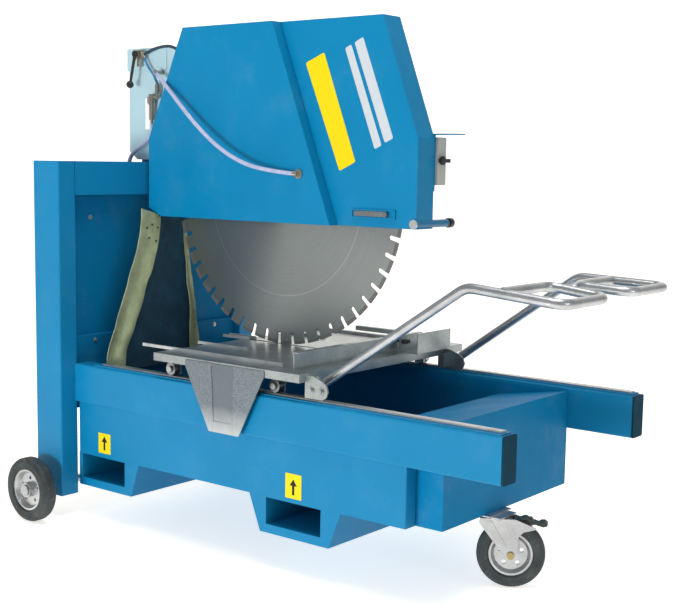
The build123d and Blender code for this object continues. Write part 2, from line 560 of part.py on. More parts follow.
def build_drive():
    body = rod_y(MOTOR_X, MOTOR_Z, MOTOR_RADIUS, 196, 440)
    body = fillet(body.edges().filter_by(GeomType.CIRCLE), 10)
    cowl = rod_y(MOTOR_X, MOTOR_Z, MOTOR_RADIUS + 4, 440, 486)
    flange = rod_y(MOTOR_X, MOTOR_Z, MOTOR_RADIUS + 12, 182, 196)
    terminal = block(MOTOR_X - 55, MOTOR_X + 55, 250, 350, MOTOR_Z + MOTOR_RADIUS - 14,
                     MOTOR_Z + MOTOR_RADIUS + 46)
    gland = rod_x(300, MOTOR_Z + MOTOR_RADIUS + 20, 12, MOTOR_X - 82, MOTOR_X - 55)
    shaft_hole = rod_y(MOTOR_X, MOTOR_Z, 14 + BEARING_GAP, 180, 230)
    save("motor", body + cowl + flange + terminal + gland - shaft_hole)
    save("motor_pulley", pulley(MOTOR_X, MOTOR_Z, 56) + rod_y(MOTOR_X, MOTOR_Z, 14, 168, 226))
    shaft = rod_y(BLADE_X, BLADE_Z, 20, -8, 172)
    thread = rod_y(BLADE_X, BLADE_Z, 12, -52, -8)
    pulley_bore = rod_y(BLADE_X, BLADE_Z, 20, 100, 200)
    save("spindle_shaft", shaft + thread, pulley(BLADE_X, BLADE_Z, 84) - pulley_bore)
    belts = []
    for y in (BELT_Y - 10, BELT_Y, BELT_Y + 10):
        belts.append(belt_loop(58.0, 86.0, y - 3, y + 3) - belt_loop(52.5, 80.5, y - 3, y + 3))
    save("drive_belts", *belts)
    cover = belt_loop(88, 108, ARM_Y + ARM_THICK, MOUNT_Y)
    hollow = belt_loop(86, 106, ARM_Y + ARM_THICK + 2, MOUNT_Y - 2)
    openings = rod_y(BLADE_X, BLADE_Z, 30, 100, 110) + rod_y(MOTOR_X, MOTOR_Z, 66, 170, 176)
    save("belt_guard", cover - hollow - openings)


def belt_loop(motor_radius, spindle_radius, y0, y1):
    """A solid with the outline of a belt round the two pulleys."""
    start = Vector(MOTOR_X, 0, MOTOR_Z)
    along = (BLADE_AXIS - start).normalized()
    reach = (BLADE_AXIS - start).length
    lean = math.asin((motor_radius - spindle_radius) / reach)
    across = Vector(-along.Z, 0, along.X)
    tilt_out = across * math.cos(lean) + along * math.sin(lean)
    tilt_in = across * -math.cos(lean) + along * math.sin(lean)
    corners = [start + tilt_out * motor_radius, BLADE_AXIS + tilt_out * spindle_radius,
               BLADE_AXIS + tilt_in * spindle_radius, start + tilt_in * motor_radius]
    solid = prism_y([(corner.X, corner.Z) for corner in corners], y0, y1)
    solid = solid + rod_y(MOTOR_X, MOTOR_Z, motor_radius, y0, y1)
    return solid + rod_y(BLADE_X, BLADE_Z, spindle_radius, y0, y1)


def pulley(x, z, radius):
    """A pulley with three grooves, each clear of its belt."""
    wheel = rod_y(x, z, radius, BELT_Y - 17, BELT_Y + 17)
    for y in (BELT_Y - 10, BELT_Y, BELT_Y + 10):
        groove = rod_y(x, z, radius + 1, y - 3.4, y + 3.4) - rod_y(x, z, radius - 4, y - 3.4, y + 3.4)
        wheel = wheel - groove
    return wheel


def build_blade():
    core_radius = BLADE_RADIUS - SEGMENT_HEIGHT
    core = rod_y(BLADE_X, BLADE_Z, core_radius, -CORE_HALF, CORE_HALF)
    core = core - rod_y(BLADE_X, BLADE_Z, 20, -10, 10)
    segment_half = math.degrees(SEGMENT_LENGTH / BLADE_RADIUS) / 2
    gullets = []
    segments = []
    ring = rod_y(BLADE_X, BLADE_Z, BLADE_RADIUS, -SEGMENT_HALF, SEGMENT_HALF)
    ring = ring - rod_y(BLADE_X, BLADE_Z, core_radius, -SEGMENT_HALF, SEGMENT_HALF)
    spread = BLADE_RADIUS + 20
    for count in range(SEGMENT_COUNT):
        angle = 360 * count / SEGMENT_COUNT
        spin = Pos(BLADE_X, 0, BLADE_Z) * Rot(0, -angle, 0)
        slot = block(core_radius - GULLET_DEPTH, core_radius + 5, -5, 5, -GULLET_WIDTH / 2, GULLET_WIDTH / 2)
        round_end = rod_y(core_radius - GULLET_DEPTH, 0, GULLET_WIDTH / 2, -5, 5)
        gullets.append(spin * slot)
        gullets.append(spin * round_end)
        low = math.radians(180 / SEGMENT_COUNT - segment_half)
        high = math.radians(180 / SEGMENT_COUNT + segment_half)
        wedge = prism_y([(0, 0), (spread * math.cos(low), spread * math.sin(low)),
                         (spread * math.cos(high), spread * math.sin(high))], -5, 5)
        segments.append(ring & (spin * wedge))
    core = core - gullets
    save("blade_disc", core, *segments)
    inner_flange = rod_y(BLADE_X, BLADE_Z, 75, CORE_HALF, 12) - rod_y(BLADE_X, BLADE_Z, 20, 0, 20)
    outer_flange = rod_y(BLADE_X, BLADE_Z, 75, -14, -CORE_HALF) - rod_y(BLADE_X, BLADE_Z, 20, -8, 0)
    outer_flange = outer_flange - rod_y(BLADE_X, BLADE_Z, 12, -20, 0)
    nut = rod_y(BLADE_X, BLADE_Z, 24, -36, -14) - rod_y(BLADE_X, BLADE_Z, 12, -40, 0)
    save("blade_flanges", inner_flange, outer_flange, nut)


def build_switch():
    case = block(246, 296, FRONT_HALF + 10, 92, 1065, 1199)
    case = fillet(case.edges().filter_by(Axis.X), 5)
    save("switch_box", case)
    knob = rod_x(71, 1134, 12, 296.5, 303)
    bar = block(300, 312, 50, 92, 1128.5, 1139.5)
    save("switch_lever", knob + bar)


def build_water():
    save("feed_hose", hose("feed_hose", FEED_ROUTE, HOSE_RADIUS))
    save("supply_hose", hose("supply_hose", SUPPLY_ROUTE, HOSE_RADIUS))
    save("control_hose", hose("control_hose", CONTROL_ROUTE, 5))
    save("pilot_hose", hose("pilot_hose", PILOT_ROUTE, 4))
    body = block(-819, -792, HOSE_Y - 12, PANEL_Y - 3, 1448, 1476)
    spout = rod_z(-812, HOSE_Y, 8, 1424, 1448)
    valve = body + spout + stub(CONTROL_ROUTE[0], CONTROL_ROUTE[1], 7, 12)
    valve = valve + stub(PILOT_ROUTE[0], PILOT_ROUTE[1], 5.5, 12)
    stem = rod_y(-806, 1463, 5, HOSE_Y - 20, HOSE_Y - 12)
    coupling = rod_z(-753, HOSE_Y, 11, 1300, 1334)
    brass = rod_z(-753, HOSE_Y, 9, 1252, 1300)
    nipple = rod_z(-753, HOSE_Y, 5, 1238, 1252)
    bracket = block(-795, -768, PANEL_Y - 8, PANEL_Y, 1220, 1325)
    clamp = block(-768, -760, HOSE_Y - 6, PANEL_Y, 1305, 1325)
    elbow = rod_z(-726, HOSE_Y, 8, 1340, 1366)
    elbow_mount = block(-732, -720, HOSE_Y + 6, PANEL_Y, 1342, 1354)
    tail = rod_x(HOSE_Y, 1326, 5, -742.5, -731)
    link = block(-731, -722, HOSE_Y - 6, HOSE_Y + 6, 1319, 1340)
    away = Vector(*FEED_ROUTE[0]) - Vector(*FEED_ROUTE[1])
    away = away.normalized()
    begin = Vector(*FEED_ROUTE[0])
    gland = Plane(origin=begin, z_dir=away) * Pos(0, 0, 8) * Cylinder(8, 16)
    foot = rod_y(-720, 1403, 6, -64, PANEL_Y)
    grommet = stub(CONTROL_ROUTE[-1], CONTROL_ROUTE[-2], 9, 6)
    last = Vector(*FEED_ROUTE[-1])
    onward = (last - Vector(*FEED_ROUTE[-2])).normalized()
    ferrule = Plane(origin=last, z_dir=onward) * Pos(0, 0, 7) * Cylinder(8, 14)
    seat = rod_y(-108, 1089, 14, -REAR_HALF - 6, -REAR_HALF)
    save("hose_fittings", valve, stem, coupling + brass + nipple, bracket + clamp,
         elbow + elbow_mount, link + tail, gland + foot - stub_limit(), ferrule + seat, grommet)
    lever = prism_y([(-812, 1460), (-801, 1458), (-824, 1372), (-832, 1374)],
                    HOSE_Y - 26, HOSE_Y - 22)
    boss = rod_y(-806, 1463, 11, HOSE_Y - 27, HOSE_Y - 20.5)
    ball = Pos(-830, HOSE_Y - 24, 1366) * Sphere(12)
    save("valve_lever", lever + boss + ball)


def stub(end, inward, radius, length):
    """A fitting that a hose leaves squarely, reaching back from the hose's end."""
    start = Vector(*end)
    back = (start - Vector(*inward)).normalized()
    return Plane(origin=start, z_dir=back) * Pos(0, 0, length / 2) * Cylinder(radius, length)


def stub_limit():
    """The space behind the valve panel, which no fitting enters."""
    return block(-900, -500, PANEL_Y, 50, 1100, 1500)


def build_curtain():
    top_x = CURTAIN_TOP_X
    low_x = CURTAIN_TOP_X - CURTAIN_LEAN * (CURTAIN_TOP_Z - CURTAIN_LOW_Z)
    panels = []
    for top_left, top_right, low_left, low_right in CURTAIN_PANELS:
        faces = []
        for shift in (0, CURTAIN_THICK):
            upper = top_x + shift
            lower = low_x + shift
            faces.append([(upper, top_left, CURTAIN_TOP_Z), (upper, top_right, CURTAIN_TOP_Z),
                          (lower, low_right, CURTAIN_LOW_Z), (lower, low_left, CURTAIN_LOW_Z)])
        panels.append(loft_between(faces[0], faces[1]))
    save("splash_curtain", *panels)


def loft_between(first, second):
    """A straight-sided solid between two equal outlines."""
    low = Wire.make_polygon([Vector(*point) for point in first])
    high = Wire.make_polygon([Vector(*point) for point in second])
    return Solid.make_loft([low, high], ruled=True)


os.makedirs("parts", exist_ok=True)
build_rails()
build_base_frame()
build_tank()
build_portal()
build_wheels()
build_caster()
build_pump()
build_table()
build_rollers()
build_handles()
build_hood()
build_head_frame()
build_drive()
build_blade()
build_switch()
build_water()
build_curtain()
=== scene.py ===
import bpy
import json
import math
import random
from mathutils import Matrix, Vector, noise


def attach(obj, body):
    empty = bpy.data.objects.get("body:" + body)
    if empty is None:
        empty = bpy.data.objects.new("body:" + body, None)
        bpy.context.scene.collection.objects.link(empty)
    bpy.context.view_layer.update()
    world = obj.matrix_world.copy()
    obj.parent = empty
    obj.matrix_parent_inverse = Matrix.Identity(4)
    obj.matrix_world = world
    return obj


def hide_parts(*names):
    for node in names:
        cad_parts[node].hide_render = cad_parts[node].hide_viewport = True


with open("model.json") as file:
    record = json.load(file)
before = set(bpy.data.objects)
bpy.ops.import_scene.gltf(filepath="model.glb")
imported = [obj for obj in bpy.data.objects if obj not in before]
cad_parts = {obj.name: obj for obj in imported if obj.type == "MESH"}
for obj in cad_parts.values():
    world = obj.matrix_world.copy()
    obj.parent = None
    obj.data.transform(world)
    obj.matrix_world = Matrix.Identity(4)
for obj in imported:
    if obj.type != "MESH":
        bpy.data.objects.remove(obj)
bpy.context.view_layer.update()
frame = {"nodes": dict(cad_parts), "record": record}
nodes = frame["nodes"]
scene = bpy.context.scene

# Camera: turn about the vertical, dip below the horizon, tilt of the frame (degrees), and place (metres)
VIEW_TURN, VIEW_DIP, VIEW_TILT = 38.4, 7.2, 0.9
VIEW_PLACE = (2.2671, -2.8648, 1.1269)

# Blade: axis and the radii of its ring line and rim
BLADE_X, BLADE_Z = -0.230, 1.016
RING_LINE_RADIUS = 0.300
CORE_RADIUS = 0.440

# Apron: middle and half width of its pressed channel
APRON_X = -0.106
CHANNEL_HALF = 0.039

# Faces that labels lie on
HOOD_NEAR_Y = -0.040
BRACKET_NEAR_Y = -0.048
SIDE_BOX_NEAR_Y = -0.365

# Splash curtain: plane of its top edge, backward lean over its height, foot, and radius of its fixings
CURTAIN_X = -0.7205
CURTAIN_LEAN = 0.015
CURTAIN_FOOT_Z = 0.445
FIXING_X = -0.7120
FIXING_RADIUS = 0.0035

# Floor under the machine, and the size of the studio around it
GROUND_Z = -0.004
GROUND_HALF = 14
SWEEP_START = -3.2
SWEEP_WALL = 8.0
SWEEP_BEND = 2.5
SWEEP_TOP = 9.0
SWEEP_HALF = 12

# Each hose's route: its two ends, and the points between them that its curve bends towards
FEED = [(-0.710, -0.074, 1.396), (-0.602, -0.106, 1.324), (-0.495, -0.118, 1.235), (-0.383, -0.125, 1.159),
        (-0.282, -0.122, 1.115), (-0.197, -0.108, 1.097), (-0.121, -0.089, 1.090)]
SUPPLY = [(-0.753, -0.058, 1.238), (-0.753, -0.058, 1.208), (-0.778, -0.058, 1.183), (-0.812, -0.058, 1.165),
          (-0.846, -0.058, 1.144), (-0.864, -0.058, 1.118), (-0.866, -0.058, 1.090)]
CONTROL = [(-0.784, -0.058, 1.464), (-0.748, -0.058, 1.477), (-0.704, -0.058, 1.484),
           (-0.6611, -0.058, 1.4844), (-0.6301, -0.058, 1.4705)]
PILOT = [(-0.786, -0.058, 1.450), (-0.770, -0.058, 1.422), (-0.742, -0.058, 1.396), (-0.726, -0.058, 1.366)]

# Hoses: node, route, radius, material slot, stiffness and lay
HOSES = (("feed_hose", FEED, 0.0065, "hose_clear", "medium", "hanging"),
         ("supply_hose", SUPPLY, 0.0065, "hose_clear", "medium", "loose"),
         ("control_hose", CONTROL, 0.005, "hose_black", "medium", "loose"),
         ("pilot_hose", PILOT, 0.004, "hose_blue", "stiff", "loose"))


# ---------------------------------------------------------------- camera
def aim_camera():
    turn, pitch, roll = math.radians(VIEW_TURN), math.radians(-VIEW_DIP), math.radians(VIEW_TILT)
    ahead = Vector((-math.sin(turn) * math.cos(pitch), math.cos(turn) * math.cos(pitch), math.sin(pitch)))
    level = Vector((math.cos(turn), math.sin(turn), 0))
    above = level.cross(ahead)
    right = level * math.cos(roll) + above * math.sin(roll)
    up = -level * math.sin(roll) + above * math.cos(roll)
    data = bpy.data.cameras.new("camera")
    data.sensor_width = 36
    data.lens = 65.5
    data.shift_y = 0.0231
    data.clip_start, data.clip_end = 0.05, 60
    camera = bpy.data.objects.new("camera", data)
    scene.collection.objects.link(camera)
    facing = Matrix((right, up, -ahead)).transposed().to_4x4()
    camera.matrix_world = Matrix.Translation(VIEW_PLACE) @ facing
    scene.camera = camera


# ---------------------------------------------------------------- materials
def linear(*channels):
    """A colour of 0 to 255 screen values, in linear light."""
    values = [channel / 255 for channel in channels]
    return tuple(v / 12.92 if v < 0.0431 else ((v + 0.055) / 1.055) ** 2.4 for v in values)


SURFACE_INPUTS = {
    "color": "Base Color",
    "metal": "Metallic",
    "rough": "Roughness",
    "normal": "Normal",
    "coat": "Coat Weight",
    "coat_rough": "Coat Roughness",
    "sheen": "Sheen Weight",
    "specular": "Specular IOR Level",
}


class Shader:
    """A node tree with short helpers for building a procedural finish."""

    def __init__(self, name):
        self.material = bpy.data.materials.new(name)
        self.material.use_nodes = True
        self.tree = self.material.node_tree
        self.surface = self.tree.nodes["Principled BSDF"]
        self.place = self.add("ShaderNodeTexCoord").outputs["Object"]

    def add(self, kind, **settings):
        node = self.tree.nodes.new(kind)
        for key, value in settings.items():
            setattr(node, key, value)
        return node

    def join(self, source, target):
        if isinstance(source, (int, float)):
            target.default_value = source
        elif isinstance(source, tuple):
            target.default_value = (*source, 1.0) if len(source) == 3 and target.type == "RGBA" else source
        else:
            self.tree.links.new(source, target)

    def stretched(self, scale):
        mapping = self.add("ShaderNodeMapping")
        mapping.inputs["Scale"].default_value = scale
        self.join(self.place, mapping.inputs["Vector"])
        return mapping.outputs["Vector"]

    def noise(self, scale, detail=4, rough=0.55, where=None):
        node = self.add("ShaderNodeTexNoise")
        self.join(where or self.place, node.inputs["Vector"])
        node.inputs["Scale"].default_value = scale
        node.inputs["Detail"].default_value = detail
        node.inputs["Roughness"].default_value = rough
        return node.outputs["Fac"]

    def cells(self, scale):
        node = self.add("ShaderNodeTexVoronoi")
        self.join(self.place, node.inputs["Vector"])
        node.inputs["Scale"].default_value = scale
        return node

    def bands(self, direction, scale, distortion):
        node = self.add("ShaderNodeTexWave", wave_type="BANDS", bands_direction=direction)
        self.join(self.place, node.inputs["Vector"])
        node.inputs["Scale"].default_value = scale
        node.inputs["Distortion"].default_value = distortion
        return node.outputs["Fac"]

    def remap(self, value, low, high, out_low=0.0, out_high=1.0):
        node = self.add("ShaderNodeMapRange")
        self.join(value, node.inputs["Value"])
        node.inputs["From Min"].default_value = low
        node.inputs["From Max"].default_value = high
        node.inputs["To Min"].default_value = out_low
        node.inputs["To Max"].default_value = out_high
        return node.outputs["Result"]

    def math(self, operation, a, b=0.0):
        node = self.add("ShaderNodeMath", operation=operation)
        self.join(a, node.inputs[0])
        self.join(b, node.inputs[1])
        return node.outputs[0]

    def mix(self, factor, a, b):
        node = self.add("ShaderNodeMix", data_type="RGBA")
        self.join(factor, node.inputs["Factor"])
        self.join(a, node.inputs[6])
        self.join(b, node.inputs[7])
        return node.outputs[2]

    def axis(self, index):
        node = self.add("ShaderNodeSeparateXYZ")
        self.join(self.place, node.inputs[0])
        return node.outputs[index]

    def bump(self, height, distance, strength=1.0, base=None):
        node = self.add("ShaderNodeBump")
        node.inputs["Strength"].default_value = strength
        node.inputs["Distance"].default_value = distance
        self.join(height, node.inputs["Height"])
        if base is not None:
            self.join(base, node.inputs["Normal"])
        return node.outputs["Normal"]

    def rounded(self, radius):
        node = self.add("ShaderNodeBevel", samples=4)
        node.inputs["Radius"].default_value = radius
        return node.outputs["Normal"]

    def edges(self, radius):
        """1 on sharp edges of the part, 0 on its flats."""
        soft = self.rounded(radius)
        flat = self.add("ShaderNodeNewGeometry").outputs["Normal"]
        dot = self.add("ShaderNodeVectorMath", operation="DOT_PRODUCT")
        self.join(soft, dot.inputs[0])
        self.join(flat, dot.inputs[1])
        return self.remap(dot.outputs["Value"], 0.985, 0.80)

    def glow(self, color, strength):
        self.surface.inputs["Emission Color"].default_value = (*color, 1)
        self.surface.inputs["Emission Strength"].default_value = strength

    def put(self, **values):
        for key, value in values.items():
            self.join(value, self.surface.inputs[SURFACE_INPUTS[key]])
        return self.material


def paint(name, rgb, rough=0.44, wear=0.25, dirt=0.06, orange=0.00025, edge=0.0015, sheen=0.25):
    """Enamel on steel: slight orange peel, faint tone changes, a little dust, few chipped edges."""
    s = Shader(name)
    base = linear(*rgb)
    dark = tuple(v * 0.90 for v in base)
    light = tuple(min(1, v * 1.08 + 0.003) for v in base)
    broad = s.remap(s.noise(2.3, 3), 0.35, 0.68)
    color = s.mix(broad, dark, light)
    color = s.mix(0.55, color, (*base, 1))
    dust = s.math("MULTIPLY", s.remap(s.noise(9, 6, 0.7), 0.52, 0.78), dirt)
    color = s.mix(dust, color, (0.30, 0.38, 0.44, 1))
    spots = s.remap(s.noise(90, 3, 0.6), 0.70, 0.76)
    color = s.mix(s.math("MULTIPLY", spots, dirt), color, (0.20, 0.21, 0.21, 1))
    chipped = s.math("MULTIPLY", s.edges(edge * 1.6), s.remap(s.noise(55, 5, 0.75), 0.58, 0.66))
    chipped = s.math("MULTIPLY", chipped, wear)
    color = s.mix(chipped, color, (0.34, 0.35, 0.36, 1))
    gloss = s.remap(s.noise(14, 5), 0.3, 0.7, rough - 0.05, rough + 0.09)
    peel = s.bump(s.noise(420, 2), orange, 0.5, s.rounded(edge))
    sag = s.bump(s.noise(7, 2), 0.0012, 0.25, peel)
    return s.put(color=color, metal=0.0, rough=gloss, normal=sag, coat=0.15 * sheen, coat_rough=0.25,
                 specular=sheen)


def zinc(name, rgb, rough=0.36, spangle=0.0, grain=(8, 8, 8), edge=0.001):
    """Galvanised or brushed steel: crystals, draw lines, dull patches."""
    s = Shader(name)
    base = linear(*rgb)
    dull = tuple(v * 0.70 for v in base)
    patch = s.remap(s.noise(11, 5, 0.6), 0.35, 0.65)
    color = s.mix(patch, dull, base)
    flakes = s.cells(240)
    tone = s.math("MULTIPLY", s.remap(flakes.outputs["Color"], 0.1, 0.9), spangle)
    color = s.mix(tone, color, (0.80, 0.83, 0.86, 1))
    lines = s.noise(60, 4, 0.7, s.stretched(grain))
    marks = s.remap(s.noise(35, 6, 0.8), 0.62, 0.72, 0.0, 0.45)
    color = s.mix(marks, color, (0.16, 0.17, 0.18, 1))
    gloss = s.remap(lines, 0.3, 0.7, rough - 0.08, rough + 0.12)
    normal = s.bump(lines, 0.0003, 0.35, s.rounded(edge))
    return s.put(color=color, metal=0.92, rough=gloss, normal=normal)


def rubber(name, rgb, rough=0.62, powder=0.35):
    """Matt rubber with a fine grain, paler where it is dusty."""
    s = Shader(name)
    base = linear(*rgb)
    color = s.mix(s.remap(s.noise(18, 6, 0.7), 0.4, 0.75), base, tuple(v * 1.7 + 0.02 for v in base))
    dust = s.remap(s.noise(60, 5, 0.8), 0.58, 0.75, 0.0, powder)
    color = s.mix(dust, color, (0.30, 0.30, 0.29, 1))
    normal = s.bump(s.noise(300, 3), 0.0004, 0.5, s.rounded(0.002))
    gloss = s.remap(s.noise(24, 4), 0.3, 0.7, rough - 0.08, rough + 0.1)
    return s.put(color=color, rough=gloss, normal=normal)


def plastic(name, rgb, rough=0.42):
    """Moulded plastic with a fine texture and slightly worn, paler patches."""
    s = Shader(name)
    base = linear(*rgb)
    color = s.mix(s.remap(s.noise(30, 5, 0.7), 0.45, 0.75), base, tuple(v * 1.5 + 0.012 for v in base))
    normal = s.bump(s.noise(900, 2), 0.0002, 0.4, s.rounded(0.0012))
    gloss = s.remap(s.noise(40, 4), 0.3, 0.7, rough - 0.06, rough + 0.1)
    return s.put(color=color, rough=gloss, normal=normal)


def blade_steel():
    """A ground disc: concentric grinding lines, a faint tension ring, darker sintered rim."""
    s = Shader("blade_steel")
    x = s.math("SUBTRACT", s.axis(0), BLADE_X)
    z = s.math("SUBTRACT", s.axis(2), BLADE_Z)
    radius = s.math("SQRT", s.math("ADD", s.math("MULTIPLY", x, x), s.math("MULTIPLY", z, z)))
    spin = s.math("ARCTAN2", z, x)
    where = s.add("ShaderNodeCombineXYZ")
    s.join(s.math("MULTIPLY", radius, 260.0), where.inputs[0])
    s.join(s.math("MULTIPLY", spin, 0.8), where.inputs[1])
    rings = s.noise(1.0, 6, 0.75, where.outputs[0])
    color = s.mix(rings, linear(144, 152, 153), linear(168, 174, 174))
    line = s.remap(s.math("ABSOLUTE", s.math("SUBTRACT", radius, RING_LINE_RADIUS)), 0.0, 0.0016, 0.55, 0.0)
    color = s.mix(line, color, linear(226, 228, 228))
    stain = s.remap(s.noise(13, 6, 0.7), 0.56, 0.75, 0.0, 0.18)
    color = s.mix(stain, color, linear(124, 122, 118))
    rim = s.remap(radius, CORE_RADIUS - 0.0002, CORE_RADIUS + 0.0002)
    grit = s.mix(s.noise(900, 2), linear(70, 72, 74), linear(150, 150, 148))
    color = s.mix(rim, color, grit)
    gloss = s.remap(rings, 0.25, 0.75, 0.30, 0.38)
    normal = s.bump(rings, 0.0003, 0.12, s.rounded(0.0006))
    tangent = s.add("ShaderNodeTangent", direction_type="RADIAL", axis="Y")
    s.join(tangent.outputs[0], s.surface.inputs["Tangent"])
    s.surface.inputs["Anisotropic"].default_value = 0.75
    s.surface.inputs["Anisotropic Rotation"].default_value = 0.25
    return s.put(color=color, metal=s.remap(rim, 0, 1, 0.95, 0.55), rough=gloss, normal=normal)


def clear_hose():
    """Glossy hose, milky with a violet tint."""
    s = Shader("clear_hose")
    color = s.mix(s.noise(40, 5), linear(140, 150, 186), linear(186, 190, 214))
    normal = s.bump(s.noise(300, 3), 0.0002, 0.3)
    return s.put(color=color, rough=0.20, normal=normal, coat=0.7, coat_rough=0.08)


def canvas(name, low, high, pimples=0.0, sheen=0.15):
    """Woven cloth, or a pimpled rubber mat when pimples is set."""
    s = Shader(name)
    weave = s.math("MULTIPLY", s.bands("Y", 150, 0.8), s.bands("Z", 150, 0.8))
    color = s.mix(s.remap(s.noise(16, 6, 0.7), 0.32, 0.68), linear(*low), linear(*high))
    color = s.mix(s.math("MULTIPLY", weave, 0.25), color, tuple(min(1, v * 1.3) for v in linear(*high)))
    stains = s.remap(s.noise(5, 5, 0.6), 0.52, 0.72, 0.0, 0.5)
    color = s.mix(stains, color, tuple(v * 0.55 for v in linear(*low)))
    normal = s.bump(weave, 0.0009, 0.7)
    if pimples:
        speck = s.remap(s.cells(pimples).outputs["Distance"], 0.0, 0.5)
        normal = s.bump(speck, 0.002, 0.8, normal)
    return s.put(color=color, rough=0.86, normal=normal, sheen=sheen)


def apron_steel():
    """Spangled sheet with a smoother pressed channel down its middle, painted darker there as shade, with
    painted shade along its folds; paler towards the foot.
    """
    s = Shader("apron_steel")
    across, height = s.axis(0), s.axis(2)
    middle = s.math("ABSOLUTE", s.math("ADD", across, -APRON_X))
    channel = s.remap(middle, CHANNEL_HALF - 0.003, CHANNEL_HALF + 0.003, 1.0, 0.0)
    flakes = s.cells(330).outputs["Color"]
    speckle = s.mix(s.remap(flakes, 0.1, 0.9), linear(106, 117, 123), linear(138, 149, 155))
    streaks = s.noise(45, 4, 0.7, s.stretched((12, 12, 0.8)))
    # The channel is smoother and its colour is set darker than the spangled sides: painted shade of the
    # recess.
    smooth = s.mix(streaks, linear(94, 105, 112), linear(130, 141, 148))
    color = s.mix(channel, speckle, smooth)
    # The sheet turns paler towards its foot, with a ragged edge.
    ragged = s.math("ADD", height, s.math("MULTIPLY", s.noise(20, 4), 0.03))
    foot = s.remap(ragged, 0.455, 0.385, 0.0, 0.8)
    color = s.mix(foot, color, linear(206, 212, 216))
    # Painted shade: a dark line along each fold of the channel.
    edge = s.remap(s.math("ABSOLUTE", s.math("SUBTRACT", middle, CHANNEL_HALF)), 0.0, 0.0015, 0.35, 0.0)
    color = s.mix(edge, color, linear(86, 92, 96))
    normal = s.bump(s.noise(60, 4, 0.7, s.stretched((14, 14, 1.2))), 0.0003, 0.3, s.rounded(0.001))
    return s.put(color=color, metal=0.75, rough=0.42, normal=normal)


def bar_finish():
    """A bar in hood paint with a bright near end and a black far knob."""
    s = Shader("bar_finish")
    along = s.axis(1)
    near = s.remap(along, -0.0442, -0.0438, 1.0, 0.0)
    far = s.remap(along, 0.118, 0.120)
    grain = s.noise(60, 4)
    color = s.mix(grain, linear(0, 98, 138), linear(4, 116, 160))
    color = s.mix(near, color, s.mix(grain, linear(186, 190, 192), linear(222, 224, 226)))
    color = s.mix(far, color, s.mix(grain, linear(22, 26, 30), linear(40, 44, 48)))
    gloss = s.remap(grain, 0.3, 0.7, 0.30, 0.42)
    normal = s.bump(s.noise(300, 2), 0.0002, 0.3, s.rounded(0.0015))
    return s.put(color=color, metal=s.math("MULTIPLY", near, 0.9), rough=gloss, normal=normal)


# One finish for each material slot of the record
FINISHES = {
    "rail_blue": paint("rail_blue", (2, 119, 166)),
    "hood_blue": paint("hood_blue", (2, 121, 168), rough=0.40, sheen=0.18),
    "tank_blue": paint("tank_blue", (2, 114, 163), rough=0.50, dirt=0.10, sheen=0.08),
    # panel_pale: this pale blue is a painted highlight, standing for the light that shines on the panel.
    "panel_pale": paint("panel_pale", (168, 198, 208)),
    "motor_grey": paint("motor_grey", (108, 116, 122), rough=0.5),
    "pedal_steel": paint("pedal_steel", (46, 56, 54), rough=0.5),
    "black_plastic": plastic("black_plastic", (24, 25, 27)),
    "table_steel": zinc("table_steel", (172, 182, 184), 0.32, 0.10, (1, 14, 14)),
    "apron_steel": apron_steel(),
    "handle_steel": zinc("handle_steel", (196, 200, 204), 0.30, 0.1),
    "galvanised": zinc("galvanised", (190, 195, 200), 0.34, 0.2, (1, 12, 12)),
    "zinc_rim": zinc("zinc_rim", (200, 203, 205), 0.30, 0.1),
    "roller_steel": zinc("roller_steel", (160, 164, 168), 0.28),
    "spindle_steel": zinc("spindle_steel", (150, 154, 158), 0.30),
    "pulley_iron": zinc("pulley_iron", (70, 72, 75), 0.5),
    "fitting_metal": zinc("fitting_metal", (188, 184, 172), 0.28),
    "tyre_rubber": rubber("tyre_rubber", (38, 44, 46)),
    "hose_black": rubber("hose_black", (4, 44, 62), 0.45, 0.04),
    "hose_blue": rubber("hose_blue", (10, 98, 142), 0.4, 0.04),
    "hose_clear": clear_hose(),
    "blade_steel": blade_steel(),
    "curtain_fabric": canvas("curtain_fabric", (96, 110, 84), (146, 158, 122)),
}

# Nodes whose finish differs from their slot's
OWN_FINISHES = {
    "rail_end_caps": paint("cap_teal", (3, 54, 74), rough=0.6, sheen=0.05),
    "switch_box": paint("switch_grey", (178, 181, 178)),
    "head_bar": bar_finish(),
    "caster_axle": zinc("brass_bolt", (190, 172, 118), 0.34),
    # The ribs are paler than the table's steel: partly their own metal, partly a painted highlight along
    # them.
    "table_ribs": zinc("rib_steel", (232, 236, 238), 0.46),
}


def dress(obj, material):
    obj.data.materials.clear()
    obj.data.materials.append(material)


def dress_nodes():
    slots = {row["node"]: row["material_slot"] for row in frame["record"]["subparts"]}
    for name, obj in nodes.items():
        dress(obj, OWN_FINISHES.get(name) or FINISHES[slots[name]])


# ---------------------------------------------------------------- pieces made here
def mesh_piece(name, vertices, faces, material, body, smooth=False):
    data = bpy.data.meshes.new(name)
    data.from_pydata(vertices, [], faces)
    data.update()
    for polygon in data.polygons:
        polygon.use_smooth = smooth
    obj = bpy.data.objects.new(name, data)
    scene.collection.objects.link(obj)
    dress(obj, material)
    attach(obj, body)
    return obj


